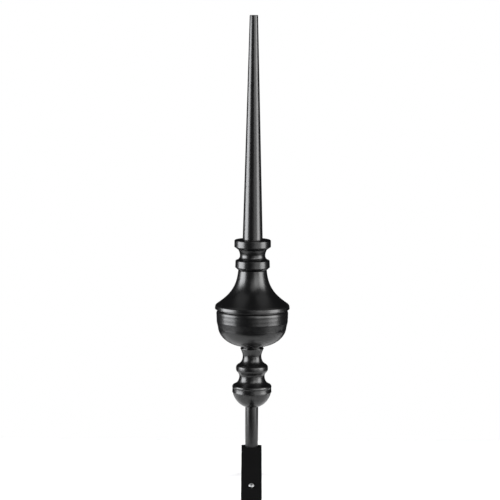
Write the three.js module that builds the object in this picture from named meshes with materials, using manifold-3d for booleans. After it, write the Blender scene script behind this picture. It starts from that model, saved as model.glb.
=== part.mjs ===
// Roof finial: turned metal pieces stacked on one axis over a strap that is bent down on both sides.
// Millimetres, +Z up. The origin is the middle of the strap's flat underside, and -Y is the front.
import * as THREE from "three";
import { mergeVertices } from "three/addons/utils/BufferGeometryUtils.js";
import Module from "manifold-3d";

const wasm = await Module();
wasm.setup();

// Saddle: a flat bar, level in the middle, with one leg bent down in front and one behind
const strapWidth = 33.5;
const strapThickness = 4;
const crownFlat = 22; // level stretch between the two bends
const bendRadius = 3; // inside of each bend
const legPitch = 30; // degrees below level
const legLength = 150; // straight stretch after the bend
const legCornerRadius = 6;

// Fixing screws: a pan head with a cross recess, and one screw in each leg
const screwFromBend = 87;
const screwHoleDiameter = 5;
const headDiameter = 8.6;
const headHeight = 3;
const headRim = 0.9; // upright edge under the dome
const seatGap = 0.3; // between a screw head and the strap
const shankDiameter = 4.2;
const shankLength = 30;
const pointLength = 6;
const recessSpan = 4.4;
const recessSlot = 1.1;
const recessDepth = 1.4;

// Pole: a length of pipe that stands on the crown and ends in the cup's socket
const poleDiameter = 21.3;
const poleShown = 68; // from the crown up to the cup
const socketDepth = 12;
const socketGap = 0.3; // all round the pole

// Cup: part of a ball, open below for the pole
const cupBallRadius = 32;
const cupHeight = 24;
const cupFootLand = 1.2; // flat ring round the socket

// Baluster: cap, cove, ring and neck, turned in one piece
const capLipRadius = 32.5; // bead at the cap's lower edge
const capLipHeight = 2;
const capBandRadius = 32.1;
const capBandHeight = 5.4;
const capRadius = 32.5; // shoulder edge over the band
const capEdgeHeight = 1.8;
const capRound = 3.8;
const shoulderInset = 2.3; // how far in the cap's rounded edge ends
const lowerCoveRadius = 20.9;
const lowerCoveFlare = 14.8; // from the shoulder up to the narrowest place
const ringUnderHeight = 11.2; // from the cove's narrowest place up to the ring's band
const ringRadius = 26.4;
const ringInset = 2.9; // how far in the ring's rounded edges end
const ringBand = 3;
const ringOverHeight = 4.6;
const waistRadius = 15.4;
const neckFlare = 14.4; // from the ring up to the waist
const neckRise = 12.2; // from the waist up to the flange
const flangeRadius = 19.3;
const flangeEdge = 1;

// Bowl: the lower half of the urn, on a short foot
const bowlFootRadius = 16.2;
const bowlFootHeight = 3;
const bowlRadius = 59.2;
const bowlDepth = 30.8; // curved stretch from the foot up
const bowlTaper = 9.4; // leaning stretch above that
const bowlTaperLean = 2.3;
const bowlWall = 15.2; // nearly upright stretch up to the lip
const bowlWallLean = 0.6;
const bowlLipRound = 4.6;
const bowlLipInset = 3.2; // how far in the rounded lip ends

// Bell: the flared upper half of the urn, with a rim that stands out over the bowl
const creaseRadius = 57; // groove between the rim and the bowl
const creaseHeight = 2.2;
const rimRadius = 61.5;
const rimUnderRound = 1.2;
const rimUnderInset = 0.8;
const rimBand = 3.2;
const rimLean = 0.3; // how far in the top of the band lies
const rimOverRound = 3.8;
const rimOverInset = 2.85; // how far in the rim's rounded upper edge ends
const bellFlare = 55.2; // from the rim's edge up to the collar
const bellTopRadius = 23.6;

// Collar: two rings with a cove between them, turned in one piece
const collarFootRadius = 22.9;
const collarFootHeight = 0.5;
const lowRingRadius = 28.5;
const lowRingSplay = 4.5; // sloping underside
const lowRingUnderRound = 1.2;
const lowRingUnderInset = 0.8;
const lowRingTopRadius = 28.1;
const lowRingBand = 9.5;
const lowRingRound = 1.7;
const lowRingInset = 1.5; // how far in the ring's rounded upper edge ends
const coveRadius = 20.8;
const coveFlare = 7.9; // from the low ring up to the narrowest place
const coveRise = 9; // from the narrowest place up to the high ring
const coveMouthRadius = 23.3;
const highRingRadius = 30;
const highRingSplay = 4.5;
const highRingUnderRound = 1.2;
const highRingUnderInset = 0.8;
const highRingBand = 8.6;
const highRingRound = 2.6;
const highRingInset = 4.6;

// Spire: a long tapered tube with a flat tip
const spireHeight = 365;
const spireFootRadius = 16.4;
const spireTipRadius = 6.8;
const spireFillet = 0.8;
const tipRound = 0.5;

// Fineness of the faceted solids
const turnedSides = 32;
const screwSides = 16;
const turnPerStep = THREE.MathUtils.degToRad(16);
const longestStep = 9;
const bendSteps = 4; // flats in each bend of the strap
const cornerSteps = 6; // flats in each rounded corner of its ends
const cutMargin = 1; // how far a cutting body runs past what it cuts
const mergeDistance = 1e-4; // vertices closer than this are one vertex

// Fullness of the curved stretches: where a stretch's control point lies, as a share of its height
// or width. The last two are the long curves of the urn, which have two control points each.
const capFullness = 0.65;
const lowerCoveFullness = 0.23;
const ringUnderFullness = 0.75;
const neckFullness = { flare: 0.27, rise: 0.5 };
const lipFullness = 0.3;
const rimFullness = 0.4;
const lowRingFullness = 0.75;
const coveFullness = { flare: 0.23, rise: 0.7 };
const headFullness = 0.92;
const bowlFullness = { outward: 0.63, upward: 0.087, inward: 0.025, down: 0.426 };
const bellFullness = { inward: 0.6, upward: 0.263, taper: 0.09, down: 0.5 };

const satinBlack = new THREE.MeshStandardMaterial({
  color: 0x151618,
  roughness: 0.32,
  metalness: 0.1,
});
const mattBlack = new THREE.MeshStandardMaterial({
  color: 0x1a1a1b,
  roughness: 0.75,
  metalness: 0.1,
});
const zinc = new THREE.MeshStandardMaterial({
  color: 0xc6c8cb,
  roughness: 0.3,
  metalness: 0.9,
});

// Points of an outline: a bent stretch is cut each time that it has turned by turnPerStep.
function outlinePoints(outline) {
  const points = [outline.curves[0].getPoint(0)];
  for (const stretch of outline.curves) {
    const turn = stretch.getTangent(0).angleTo(stretch.getTangent(1));
    const steps = Math.ceil(Math.max(turn / turnPerStep, stretch.getLength() / longestStep));
    points.push(...stretch.getPoints(stretch instanceof THREE.LineCurve ? 1 : steps).slice(1));
  }
  return points;
}

// An outline of radius against height, spun round the axis. The stacked pieces share that axis, so
// each is drawn at its real height, and where two of them meet both faces have the same height.
function turned(name, outline, material = satinBlack, sides = turnedSides) {
  const geometry = new THREE.LatheGeometry(outlinePoints(outline), sides);
  geometry.rotateX(Math.PI / 2);
  const mesh = new THREE.Mesh(geometry, material);
  mesh.name = name;
  return mesh;
}

// Heights where the stacked pieces meet
const poleFoot = strapThickness;
const cupFoot = poleFoot + poleShown;
const balusterFoot = cupFoot + cupHeight;
const capShoulder = balusterFoot + capLipHeight + capBandHeight + capEdgeHeight + capRound;
const lowerWaist = capShoulder + lowerCoveFlare;
const ringFoot = lowerWaist + ringUnderHeight;
const ringShoulder = ringFoot + ringBand + ringOverHeight;
const neckWaist = ringShoulder + neckFlare;
const bowlFoot = neckWaist + neckRise + flangeEdge;
const bowlTaperFoot = bowlFoot + bowlFootHeight + bowlDepth;
const bowlWallTop = bowlTaperFoot + bowlTaper + bowlWall;
const bellFoot = bowlWallTop + bowlLipRound;
const rimFoot = bellFoot + creaseHeight;
const rimShoulder = rimFoot + rimUnderRound + rimBand + rimOverRound;
const collarFoot = rimShoulder + bellFlare;
const lowRingFoot = collarFoot + collarFootHeight + lowRingSplay;
const lowRingBandTop = lowRingFoot + lowRingUnderRound + lowRingBand;
const coveFoot = lowRingBandTop + lowRingRound;
const coveMouth = coveFoot + coveFlare + coveRise;
const highRingFoot = coveMouth + highRingSplay;
const highRingBandTop = highRingFoot + highRingUnderRound + highRingBand;
const spireFoot = highRingBandTop + highRingRound;

function makePole() {
  const radius = poleDiameter / 2;
  const top = cupFoot + socketDepth;
  const outline = new THREE.Path();
  outline.moveTo(0, poleFoot).lineTo(radius, poleFoot).lineTo(radius, top).lineTo(0, top);
  return turned("pole", outline);
}

function makeCup() {
  const socketRadius = poleDiameter / 2 + socketGap;
  const socketTop = cupFoot + socketDepth;
  const footRadius = socketRadius + cupFootLand;
  const ballCentre = cupFoot + Math.sqrt(cupBallRadius ** 2 - footRadius ** 2);
  const footAngle = -Math.acos(footRadius / cupBallRadius);
  const lipAngle = Math.asin((balusterFoot - ballCentre) / cupBallRadius);
  const outline = new THREE.Path();
  outline.moveTo(0, socketTop).lineTo(socketRadius, socketTop).lineTo(socketRadius, cupFoot);
  outline.absarc(0, ballCentre, cupBallRadius, footAngle, lipAngle, false);
  outline.lineTo(0, balusterFoot);
  return turned("cup", outline);
}

function makeBaluster() {
  const lipMiddle = balusterFoot + capLipHeight / 2;
  const bandFoot = balusterFoot + capLipHeight;
  const edgeFoot = bandFoot + capBandHeight;
  const roundFoot = edgeFoot + capEdgeHeight;
  const shoulderRadius = capRadius - shoulderInset;
  const ringEdge = ringRadius - ringInset;
  const ringUnderMiddle = lowerWaist + ringUnderHeight / 2;
  const flangeFoot = neckWaist + neckRise;
  const outline = new THREE.Path();
  outline.moveTo(0, balusterFoot).lineTo(capLipRadius - capLipHeight / 2, balusterFoot);
  outline.quadraticCurveTo(capLipRadius, balusterFoot, capLipRadius, lipMiddle);
  outline.lineTo(capBandRadius, bandFoot).lineTo(capBandRadius, edgeFoot).lineTo(capRadius, roundFoot);
  outline.quadraticCurveTo(capRadius, roundFoot + capRound * capFullness, shoulderRadius, capShoulder);
  outline.quadraticCurveTo(
    lowerCoveRadius,
    capShoulder + lowerCoveFlare * lowerCoveFullness,
    lowerCoveRadius,
    lowerWaist,
  );
  outline.quadraticCurveTo(
    lowerCoveRadius,
    ringUnderMiddle - ringInset * ringUnderFullness,
    ringEdge,
    ringUnderMiddle,
  );
  outline.quadraticCurveTo(ringRadius, ringUnderMiddle + ringInset, ringRadius, ringFoot);
  outline.lineTo(ringRadius, ringFoot + ringBand);
  outline.quadraticCurveTo(ringRadius, ringFoot + ringBand + ringOverHeight / 2, ringEdge, ringShoulder);
  outline.quadraticCurveTo(
    waistRadius,
    ringShoulder + neckFlare * neckFullness.flare,
    waistRadius,
    neckWaist,
  );
  outline.quadraticCurveTo(
    waistRadius,
    neckWaist + neckRise * neckFullness.rise,
    flangeRadius,
    flangeFoot,
  );
  outline.lineTo(flangeRadius - flangeEdge / 2, bowlFoot).lineTo(0, bowlFoot);
  return turned("baluster", outline);
}

function makeBowl() {
  const curveFoot = bowlFoot + bowlFootHeight;
  const wallFootRadius = bowlRadius - bowlWallLean;
  const taperFootRadius = wallFootRadius - bowlTaperLean;
  const spread = taperFootRadius - bowlFootRadius;
  const outline = new THREE.Path();
  outline.moveTo(0, bowlFoot).lineTo(bowlFootRadius, bowlFoot).lineTo(bowlFootRadius, curveFoot);
  outline.bezierCurveTo(
    bowlFootRadius + spread * bowlFullness.outward,
    curveFoot + bowlDepth * bowlFullness.upward,
    taperFootRadius - spread * bowlFullness.inward,
    bowlTaperFoot - bowlDepth * bowlFullness.down,
    taperFootRadius,
    bowlTaperFoot,
  );
  outline.lineTo(wallFootRadius, bowlTaperFoot + bowlTaper);
  outline.lineTo(bowlRadius, bowlWallTop);
  outline.quadraticCurveTo(
    bowlRadius - bowlLipInset * lipFullness,
    bellFoot,
    bowlRadius - bowlLipInset,
    bellFoot,
  );
  outline.lineTo(0, bellFoot);
  return turned("bowl", outline);
}

function makeBell() {
  const bandTop = rimFoot + rimUnderRound + rimBand;
  const bandTopRadius = rimRadius - rimLean;
  const flareRadius = rimRadius - rimOverInset;
  const spread = flareRadius - bellTopRadius;
  const outline = new THREE.Path();
  outline.moveTo(0, bellFoot).lineTo(creaseRadius, bellFoot).lineTo(creaseRadius, rimFoot);
  outline.lineTo(rimRadius - rimUnderInset, rimFoot);
  outline.quadraticCurveTo(rimRadius, rimFoot, rimRadius, rimFoot + rimUnderRound);
  outline.lineTo(bandTopRadius, bandTop);
  outline.quadraticCurveTo(
    bandTopRadius,
    bandTop + rimOverRound * rimFullness,
    flareRadius,
    rimShoulder,
  );
  outline.bezierCurveTo(
    flareRadius - spread * bellFullness.inward,
    rimShoulder + bellFlare * bellFullness.upward,
    bellTopRadius + bellFlare * bellFullness.down * bellFullness.taper,
    collarFoot - bellFlare * bellFullness.down,
    bellTopRadius,
    collarFoot,
  );
  outline.lineTo(0, collarFoot);
  return turned("bell", outline);
}

function makeCollar() {
  const splayFoot = collarFoot + collarFootHeight;
  const lowEdge = lowRingRadius - lowRingUnderInset;
  const lowShoulder = lowRingTopRadius - lowRingInset;
  const highEdge = highRingRadius - highRingUnderInset;
  const coveWaist = coveFoot + coveFlare;
  const outline = new THREE.Path();
  outline.moveTo(0, collarFoot).lineTo(collarFootRadius, collarFoot).lineTo(collarFootRadius, splayFoot);
  outline.lineTo(lowEdge, lowRingFoot);
  outline.quadraticCurveTo(
    lowRingRadius,
    lowRingFoot,
    lowRingRadius,
    lowRingFoot + lowRingUnderRound,
  );
  outline.lineTo(lowRingTopRadius, lowRingBandTop);
  outline.quadraticCurveTo(
    lowRingTopRadius,
    lowRingBandTop + lowRingRound * lowRingFullness,
    lowShoulder,
    coveFoot,
  );
  outline.quadraticCurveTo(
    coveRadius,
    coveFoot + coveFlare * coveFullness.flare,
    coveRadius,
    coveWaist,
  );
  outline.quadraticCurveTo(
    coveRadius,
    coveWaist + coveRise * coveFullness.rise,
    coveMouthRadius,
    coveMouth,
  );
  outline.lineTo(highEdge, highRingFoot);
  outline.quadraticCurveTo(
    highRingRadius,
    highRingFoot,
    highRingRadius,
    highRingFoot + highRingUnderRound,
  );
  outline.lineTo(highRingRadius, highRingBandTop);
  outline.quadraticCurveTo(highRingRadius, spireFoot, highRingRadius - highRingInset, spireFoot);
  outline.lineTo(0, spireFoot);
  return turned("collar", outline);
}

function makeSpire() {
  const tip = spireFoot + spireHeight;
  const outline = new THREE.Path();
  outline.moveTo(0, spireFoot).lineTo(spireFootRadius + spireFillet, spireFoot);
  outline.quadraticCurveTo(spireFootRadius, spireFoot, spireFootRadius, spireFoot + spireFillet);
  outline.lineTo(spireTipRadius, tip - tipRound).lineTo(spireTipRadius - tipRound, tip).lineTo(0, tip);
  return turned("spire", outline);
}

// A mesh as a solid that can be joined and cut, with the mesh's own place and turn worked in.
function solidOf(mesh) {
  const geometry = mesh.geometry.clone();
  geometry.deleteAttribute("normal");
  geometry.deleteAttribute("uv");
  mesh.updateMatrixWorld(true);
  geometry.applyMatrix4(mesh.matrixWorld);
  const merged = mergeVertices(geometry, mergeDistance);
  return new wasm.Manifold(
    new wasm.Mesh({
      numProp: 3,
      vertProperties: merged.attributes.position.array,
      triVerts: Uint32Array.from(merged.index.array),
    }),
  );
}

// A solid back as a mesh that can be shown.
function meshOf(name, solid, material) {
  const { vertProperties, triVerts } = solid.getMesh();
  const geometry = new THREE.BufferGeometry();
  geometry.setAttribute("position", new THREE.BufferAttribute(vertProperties, 3));
  geometry.setIndex(new THREE.BufferAttribute(triVerts, 1));
  geometry.computeVertexNormals();
  const mesh = new THREE.Mesh(geometry, material);
  mesh.name = name;
  return mesh;
}

// The frame of one leg: its origin is on the leg's outer face where the bend ends, +X runs across
// the strap, +Y down the leg and +Z out of its outer face. side is -1 for the front leg, 1 for the rear.
function legFrame(side) {
  const pitch = THREE.MathUtils.degToRad(legPitch);
  const outward = new THREE.Vector3(0, side * Math.sin(pitch), Math.cos(pitch));
  const down = new THREE.Vector3(0, side * Math.cos(pitch), -Math.sin(pitch));
  const across = new THREE.Vector3().crossVectors(down, outward);
  const origin = new THREE.Vector3(0, (side * crownFlat) / 2, -bendRadius);
  origin.addScaledVector(outward, bendRadius + strapThickness);
  const frame = new THREE.Group();
  frame.matrix.makeBasis(across, down, outward).setPosition(origin);
  frame.matrix.decompose(frame.position, frame.quaternion, frame.scale);
  return frame;
}

// The bar seen from its edge: over the crown and down the front leg, back along the inner face to
// the rear leg's end, and up its outer face to the crown.
function strapSection() {
  const pitch = THREE.MathUtils.degToRad(legPitch);
  const up = Math.PI / 2;
  const halfCrown = crownFlat / 2;
  const outerRadius = bendRadius + strapThickness;
  const section = new THREE.Shape();
  const legEnd = (radius, side) =>
    new THREE.Vector2(
      side * (halfCrown + radius * Math.sin(pitch) + legLength * Math.cos(pitch)),
      -bendRadius + radius * Math.cos(pitch) - legLength * Math.sin(pitch),
    );
  section.moveTo(halfCrown, strapThickness).lineTo(-halfCrown, strapThickness);
  section.absarc(-halfCrown, -bendRadius, outerRadius, up, up + pitch, false);
  section.lineTo(...legEnd(outerRadius, -1));
  section.lineTo(...legEnd(bendRadius, -1));
  section.absarc(-halfCrown, -bendRadius, bendRadius, up + pitch, up, true);
  section.absarc(halfCrown, -bendRadius, bendRadius, up, up - pitch, true);
  section.lineTo(...legEnd(bendRadius, 1));
  section.lineTo(...legEnd(outerRadius, 1));
  section.absarc(halfCrown, -bendRadius, outerRadius, up - pitch, up, false);
  return section;
}

// What is cut from one leg: the screw's hole and the two square corners of its end.
function legCutters(side) {
  const frame = legFrame(side);
  const depth = strapThickness + 2 * cutMargin;
  const hole = new THREE.Mesh(
    new THREE.CylinderGeometry(screwHoleDiameter / 2, screwHoleDiameter / 2, depth, screwSides),
  );
  hole.rotation.x = Math.PI / 2;
  hole.position.set(0, screwFromBend, -strapThickness / 2);
  const edge = strapWidth / 2;
  const arcX = edge - legCornerRadius;
  const arcY = legLength - legCornerRadius;
  const cutters = [hole];
  for (const hand of [-1, 1]) {
    const corner = new THREE.Shape();
    corner.moveTo(edge + cutMargin, arcY).lineTo(edge, arcY);
    corner.absarc(arcX, arcY, legCornerRadius, 0, Math.PI / 2, false);
    corner.lineTo(arcX, legLength + cutMargin);
    corner.lineTo(edge + cutMargin, legLength + cutMargin);
    corner.closePath();
    const cutter = new THREE.Mesh(
      new THREE.ExtrudeGeometry(corner, {
        depth,
        bevelEnabled: false,
        curveSegments: cornerSteps,
      }),
    );
    cutter.rotation.y = hand > 0 ? 0 : Math.PI;
    cutter.position.z = hand > 0 ? -strapThickness - cutMargin : cutMargin;
    cutters.push(cutter);
  }
  frame.add(...cutters);
  frame.updateMatrixWorld(true);
  return cutters;
}

function makeSaddle() {
  const bar = new THREE.Mesh(
    new THREE.ExtrudeGeometry(strapSection(), {
      depth: strapWidth,
      bevelEnabled: false,
      curveSegments: bendSteps,
    }),
  );
  const placed = new THREE.Group();
  placed.add(bar);
  bar.position.z = -strapWidth / 2;
  // The section's own axes become the saddle's Y and Z, and the strap's width runs along X.
  placed.matrixAutoUpdate = false;
  placed.matrix.makeBasis(
    new THREE.Vector3(0, 1, 0),
    new THREE.Vector3(0, 0, 1),
    new THREE.Vector3(1, 0, 0),
  );
  placed.updateMatrixWorld(true);
  let solid = solidOf(bar);
  for (const cutter of [...legCutters(-1), ...legCutters(1)]) solid = solid.subtract(solidOf(cutter));
  return meshOf("saddle", solid, mattBlack);
}

// A screw with +Z out of its head and its head's underside at the origin.
function makeScrew(name) {
  const headRadius = headDiameter / 2;
  const shankRadius = shankDiameter / 2;
  const outline = new THREE.Path();
  outline.moveTo(0, -shankLength).lineTo(shankRadius, pointLength - shankLength).lineTo(shankRadius, 0);
  outline.lineTo(headRadius, 0).lineTo(headRadius, headRim);
  outline.quadraticCurveTo(headRadius * headFullness, headHeight, 0, headHeight);
  const blank = turned(name, outline, zinc, screwSides);
  const slot = new THREE.BoxGeometry(recessSpan, recessSlot, recessDepth + cutMargin);
  let solid = solidOf(blank);
  for (const turn of [0, Math.PI / 2]) {
    const arm = new THREE.Mesh(slot);
    arm.rotation.z = turn;
    arm.position.z = headHeight - recessDepth + (recessDepth + cutMargin) / 2;
    solid = solid.subtract(solidOf(arm));
  }
  return meshOf(name, solid, zinc);
}

const finial = new THREE.Group();
finial.add(makeSaddle(), makePole(), makeCup(), makeBaluster());
finial.add(makeBowl(), makeBell(), makeCollar(), makeSpire());
for (const side of [-1, 1]) {
  const leg = legFrame(side);
  const screw = makeScrew(side < 0 ? "screw_front" : "screw_rear");
  screw.position.set(0, screwFromBend, seatGap);
  leg.add(screw);
  finial.add(leg);
}

export default finial;
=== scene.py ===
# %% [markdown]
# # Roof finial
# A spire over an urn and a baluster, on a short pole and a bent strap. The shop spins and turns the
# pieces on a lathe, stacks them on one axis and powder coats them black.
# This file dresses the measured model of it: each turned piece gets a smooth skin, the strap gets
# soft edges, the screws get a thread, and every surface gets its finish.

# %% Load the measured model
import math

import bmesh
import bpy
from mathutils import Euler, Matrix, Vector


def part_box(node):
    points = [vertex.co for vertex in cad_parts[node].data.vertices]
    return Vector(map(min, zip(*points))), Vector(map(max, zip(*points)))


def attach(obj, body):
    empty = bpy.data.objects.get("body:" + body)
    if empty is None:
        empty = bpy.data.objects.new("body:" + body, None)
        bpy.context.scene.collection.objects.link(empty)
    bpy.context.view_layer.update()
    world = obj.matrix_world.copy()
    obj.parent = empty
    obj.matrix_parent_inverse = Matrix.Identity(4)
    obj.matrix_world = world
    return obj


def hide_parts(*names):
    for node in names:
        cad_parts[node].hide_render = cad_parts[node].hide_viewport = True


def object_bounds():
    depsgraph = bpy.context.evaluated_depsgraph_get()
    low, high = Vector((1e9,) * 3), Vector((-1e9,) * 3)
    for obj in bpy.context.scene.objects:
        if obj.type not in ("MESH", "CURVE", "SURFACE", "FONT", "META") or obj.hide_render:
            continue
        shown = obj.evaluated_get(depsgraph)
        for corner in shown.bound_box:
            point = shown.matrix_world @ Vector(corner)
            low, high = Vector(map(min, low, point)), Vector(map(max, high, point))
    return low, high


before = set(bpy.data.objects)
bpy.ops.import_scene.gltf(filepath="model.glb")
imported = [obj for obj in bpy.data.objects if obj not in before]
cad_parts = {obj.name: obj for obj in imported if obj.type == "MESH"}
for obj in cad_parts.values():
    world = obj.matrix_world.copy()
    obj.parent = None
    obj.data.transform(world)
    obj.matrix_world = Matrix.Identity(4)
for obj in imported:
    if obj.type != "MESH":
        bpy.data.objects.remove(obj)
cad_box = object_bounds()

print("nodes:", ", ".join(sorted(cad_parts)))

# %% [markdown]
# ## Units
# The model is in metres, but a lathe hand thinks in millimetres. One factor turns the drawn sizes
# into metres, and the height where each piece starts and ends is read from the measured model, so
# a skin can't drift away from the piece that it covers.

# %% Heights of the pieces
MM = 0.001


def reach(node):
    """Foot and top of a node in millimetres, and its largest radius."""
    low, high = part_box(node)
    return low.z / MM, high.z / MM, high.x / MM


for node in ("pole", "cup", "baluster", "bowl", "bell", "collar", "spire"):
    foot, top, radius = reach(node)
    print(f"{node:9s} foot {foot:7.2f}  top {top:7.2f}  radius {radius:6.2f} mm")

# %% [markdown]
# ## Drawing an outline
# A turner cuts a piece to an outline: radius against height, from the foot to the top. A straight
# cut needs only its end, a hollow or a round is a curve that bends towards one control point, and
# the long curves of the urn have two. The pen below collects such points, close enough together
# that the spun surface looks smooth.

# %% Outline pen
CURVE_STEPS = 14


class Outline:
    """Radius and height of points along a piece's surface, in millimetres."""

    def __init__(self, radius, height):
        self.points = [(radius, height)]

    def line(self, radius, height):
        self.points.append((radius, height))
        return self

    def curve(self, *controls, steps=CURVE_STEPS):
        """A Bezier curve from the last point; the last control is its end."""
        controls = [Vector(self.points[-1])] + [Vector(c) for c in controls]
        for step in range(1, steps + 1):
            level = controls
            share = step / steps
            while len(level) > 1:
                level = [a.lerp(b, share) for a, b in zip(level, level[1:])]
            self.points.append(tuple(level[0]))
        return self

    def arc(self, centre, radius, start, end, steps):
        """Part of a circle round a point on the axis, from one angle to another."""
        for step in range(steps + 1):
            angle = start + (end - start) * step / steps
            self.points.append((radius * math.cos(angle), centre + radius * math.sin(angle)))
        return self


print("a curve adds", len(Outline(1, 0).curve((1, 1), (0, 1)).points) - 1, "points")

# %% [markdown]
# Spun metal has no razor edges: the sheet bends round a small radius, and the powder coat rounds it
# further. So every sharp corner of an outline is replaced by a small curve, which catches a thin
# line of light. A Bevel modifier could round the finished piece, but it would look for its edges
# anew on thousands of faces, while an outline has only a few corners and each is known.

# %% Soften the corners
SHARP_TURN = math.radians(14)
CORNER_STEPS = 4
# A corner never takes more than this share of the lines beside it, so that two can't meet.
LARGEST_SHARE = 0.45
# Points that are closer than this are one.
SAME_PLACE = 1e-6


def soften(points, largest_cut):
    """Points with each sharp corner cut back by up to a length in millimetres and rounded."""
    result = [points[0]]
    for before, corner, after in zip(points, points[1:], points[2:]):
        before, corner, after = Vector(before), Vector(corner), Vector(after)
        back, ahead = before - corner, after - corner
        if min(back.length, ahead.length) < SAME_PLACE:
            continue
        turn = math.pi - back.angle(ahead)
        if turn < SHARP_TURN:
            result.append(tuple(corner))
            continue
        cut = min(largest_cut, LARGEST_SHARE * back.length, LARGEST_SHARE * ahead.length)
        start, end = corner + back.normalized() * cut, corner + ahead.normalized() * cut
        for step in range(CORNER_STEPS + 1):
            share = step / CORNER_STEPS
            result.append(tuple(start.lerp(corner, share).lerp(corner.lerp(end, share), share)))
    return result + [points[-1]]


print("a square corner becomes", soften([(1, 0), (1, 1), (0, 1)], 0.1)[1:-1])

# %% [markdown]
# ## Spinning the outline
# The shape follows one rule: every point of the outline runs round the axis. Blender's Screw
# modifier or bmesh's spin could do it, but Geometry Nodes show the rule as a tree with its sizes as
# named inputs. The tree gets the outline as a bare wire. It lays a grid with a row for each point
# of the outline and a column for each step round the axis, and moves each vertex of the grid to its
# place on the circle. It also stores how far each vertex is along the outline, so that the coat can
# carry lines left by the spinning tool. Its last nodes, which the screws' tree shares, shade the
# surface smoothly except over edges that turn sharply, and set the finish.

# %% Tree helpers
def new_tree(name, inputs):
    """A Geometry Nodes tree with a geometry input, the named inputs and a geometry output."""
    tree = bpy.data.node_groups.new(name, "GeometryNodeTree")
    tree.interface.new_socket("Geometry", in_out="INPUT", socket_type="NodeSocketGeometry")
    for label, kind, value in inputs:
        socket = tree.interface.new_socket(label, in_out="INPUT", socket_type=kind)
        if value is not None:
            socket.default_value = value
    tree.interface.new_socket("Geometry", in_out="OUTPUT", socket_type="NodeSocketGeometry")
    return tree


def add(tree, kind, inputs=None, **settings):
    """A node with its settings made and its inputs linked or given values."""
    node = tree.nodes.new(kind)
    for label, value in settings.items():
        setattr(node, label, value)
    for key, value in (inputs or {}).items():
        socket = node.inputs[key]
        if isinstance(value, bpy.types.NodeSocket):
            tree.links.new(value, socket)
        else:
            socket.default_value = value
    return node


def math_node(tree, operation, *values):
    """A math node's result."""
    return add(tree, "ShaderNodeMath", dict(enumerate(values)), operation=operation).outputs[0]


# %% Last nodes of a tree
def finished(tree, geometry, given):
    """Smooth shading up to the sharp edges, then real geometry, then the finish."""
    smooth = add(tree, "GeometryNodeSetShadeSmooth",
                 {"Geometry": geometry, "Shade Smooth": True}, domain="FACE")
    turn = add(tree, "GeometryNodeInputMeshEdgeAngle").outputs["Unsigned Angle"]
    sharp = add(tree, "FunctionNodeCompare", {0: turn, 1: given["Sharp Angle"]},
                data_type="FLOAT", operation="GREATER_THAN")
    shaded = add(tree, "GeometryNodeSetShadeSmooth",
                 {"Geometry": smooth.outputs[0], "Selection": sharp.outputs[0],
                  "Shade Smooth": False}, domain="EDGE")
    real = add(tree, "GeometryNodeRealizeInstances", {"Geometry": shaded.outputs[0]})
    coated = add(tree, "GeometryNodeSetMaterial",
                 {"Geometry": real.outputs[0], "Material": given["Finish"]})
    add(tree, "NodeGroupOutput", {"Geometry": coated.outputs[0]})
    return tree


# %% Tree that turns a wire round the axis
SIDES = 128
SHARP_EDGE = math.radians(40)
# Vertices closer than this are welded: the first column to the last, and those on the axis.
WELD = 0.002 * MM


def row_and_angle(tree, rows, sides):
    """The row of a grid vertex, and the angle of its column round the axis."""
    index = add(tree, "GeometryNodeInputIndex").outputs[0]
    row = math_node(tree, "FLOORED_MODULO", index, rows)
    # Half a vertex is added so that rounding can't put a vertex into the column before its own.
    middle = math_node(tree, "ADD", index, 0.5)
    column = math_node(tree, "FLOOR", math_node(tree, "DIVIDE", middle, rows))
    return row, math_node(tree, "MULTIPLY", math_node(tree, "DIVIDE", column, sides), math.tau)


def on_wire(tree, wire, row, value, kind):
    """A value of the wire, read at the point that belongs to the row."""
    node = add(tree, "GeometryNodeSampleIndex", data_type=kind, domain="POINT")
    for label, source in (("Geometry", wire), ("Index", row), ("Value", value)):
        tree.links.new(source, node.inputs[label])
    return node.outputs["Value"]


def lathe_tree():
    tree = new_tree("lathe", [
        ("Sides", "NodeSocketInt", SIDES),
        ("Sharp Angle", "NodeSocketFloat", SHARP_EDGE),
        ("Finish", "NodeSocketMaterial", None),
    ])
    given = add(tree, "NodeGroupInput").outputs
    wire = given["Geometry"]
    rows = add(tree, "GeometryNodeAttributeDomainSize", {"Geometry": wire},
               component="MESH").outputs["Point Count"]
    columns = math_node(tree, "ADD", given["Sides"], 1.0)
    grid = add(tree, "GeometryNodeMeshGrid", {"Vertices X": columns, "Vertices Y": rows})
    row, angle = row_and_angle(tree, rows, given["Sides"])

    point = add(tree, "GeometryNodeInputPosition").outputs[0]
    drawn = add(tree, "ShaderNodeSeparateXYZ",
                {0: on_wire(tree, wire, row, point, "FLOAT_VECTOR")}).outputs
    x = math_node(tree, "MULTIPLY", drawn["X"], math_node(tree, "COSINE", angle))
    y = math_node(tree, "MULTIPLY", drawn["X"], math_node(tree, "SINE", angle))
    place = add(tree, "ShaderNodeCombineXYZ", {"X": x, "Y": y, "Z": drawn["Z"]})

    along = add(tree, "GeometryNodeInputNamedAttribute", {"Name": "along"}, data_type="FLOAT")
    along_here = on_wire(tree, wire, row, along.outputs["Attribute"], "FLOAT")
    stored = add(tree, "GeometryNodeStoreNamedAttribute",
                 {"Geometry": grid.outputs["Mesh"], "Name": "along", "Value": along_here},
                 data_type="FLOAT", domain="POINT")
    spun = add(tree, "GeometryNodeSetPosition",
               {"Geometry": stored.outputs[0], "Position": place.outputs[0]})
    closed = add(tree, "GeometryNodeMergeByDistance",
                 {"Geometry": spun.outputs[0], "Distance": WELD})
    return finished(tree, closed.outputs[0], given)


LATHE = lathe_tree()
print("lathe tree:", len(LATHE.nodes), "nodes")

# %% [markdown]
# A modifier's inputs are set by each socket's identifier, because its name is only a label. The
# evaluated object is then copied as a plain mesh. Faces have to point outwards: the signed volume
# under them tells, and a mesh that is inside out is turned round.

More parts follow.
